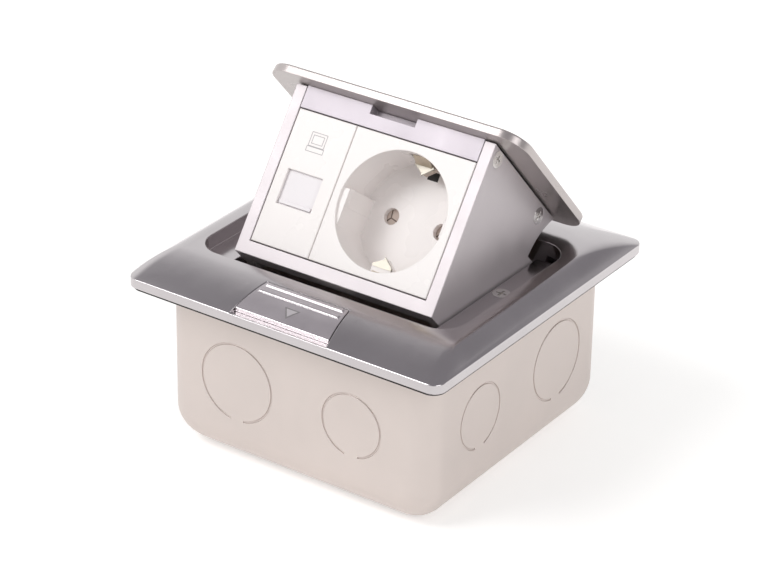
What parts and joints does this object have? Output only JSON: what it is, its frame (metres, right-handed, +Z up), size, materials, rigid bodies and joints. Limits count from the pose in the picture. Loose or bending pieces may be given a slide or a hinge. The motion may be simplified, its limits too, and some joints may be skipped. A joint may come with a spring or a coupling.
{
  "type": "floor socket box",
  "caption": "Pop-up floor box: sunk steel back box, cover plate, and a spring-lifted tilting lid that carries a power socket and a shuttered data outlet.",
  "frame": {"origin": "middle of the back box's underside", "axes": "+Z up, out of the floor; -Y towards the latch; +X to the right when facing the outlets"},
  "size_m": [0.12, 0.12, 0.1177],
  "materials": {
    "box_steel": "satin",
    "plate_paint": "satin metallic",
    "button_paint": "satin metallic",
    "frame_metal": "satin",
    "seal": "matt",
    "sheet_steel": "zinc plated",
    "screws": "zinc plated",
    "spring_steel": "drawn",
    "bearing_plastic": "matt",
    "white_plastic": "glossy",
    "base_plastic": "matt",
    "contact_brass": "bright",
    "jack_plastic": "matt"
  },
  "bodies": {
    "housing": {"back_box": "box_steel", "fixing_ears": "box_steel", "earth_nut": "sheet_steel", "earth_washer": "sheet_steel", "earth_screw": "screws", "plate_gasket": "seal", "top_plate": "plate_paint", "plate_screws": "screws", "hinge_bracket": "sheet_steel", "bracket_screws": "screws", "hinge_pin": "sheet_steel", "hinge_clips": "sheet_steel", "hinge_washers": "bearing_plastic", "torsion_springs": "spring_steel", "latch_springs": "spring_steel"},
    "latch": {"latch_slider": "button_paint", "latch_bolt": "sheet_steel", "latch_screws": "screws"},
    "module": {"lid": "plate_paint", "lid_screws": "screws", "tilt_frame": "frame_metal", "top_bar": "frame_metal", "rear_bar": "frame_metal", "frame_screws": "screws", "socket_fascia": "white_plastic", "socket_base": "base_plastic", "live_contact": "contact_brass", "neutral_contact": "contact_brass", "earth_strap": "contact_brass", "terminal_screws": "screws", "socket_assembly_screws": "screws", "socket_shutter_springs": "spring_steel", "data_fascia": "white_plastic", "data_shutter_springs": "spring_steel", "jack_carrier": "base_plastic", "data_jack": "jack_plastic", "jack_contacts": "contact_brass", "jack_cap": "jack_plastic"},
    "data_shutter": {"data_shutter": "white_plastic"},
    "socket_shutter": {"socket_shutter": "white_plastic"}
  },
  "joints": [
    {"name": "module_tilt", "type": "hinge", "parent": "housing", "child": "module", "pos_m": [0, 0.04, 0.049], "axis": [1, 0, 0], "range_deg": [0, 48], "stiffness_Nm_per_rad": 0.1, "springref_deg": -85.94, "deforming": ["torsion_springs"]},
    {"name": "latch_slide", "type": "slide", "parent": "housing", "child": "latch", "axis": [0, -1, 0], "range_m": [0, 0.0025], "stiffness_N_per_m": 300, "springref_m": -0.004, "deforming": ["latch_springs"]},
    {"name": "data_shutter_slide", "type": "slide", "parent": "module", "child": "data_shutter", "axis": [0, 0.5878, 0.809], "range_m": [0, 0.0098], "stiffness_N_per_m": 20, "springref_m": -0.004, "deforming": ["data_shutter_springs"]},
    {"name": "socket_shutter_slide", "type": "slide", "parent": "module", "child": "socket_shutter", "axis": [0, 0.5878, 0.809], "range_m": [0, 0.0064], "stiffness_N_per_m": 50, "springref_m": -0.004, "deforming": ["socket_shutter_springs"]}
  ]
}
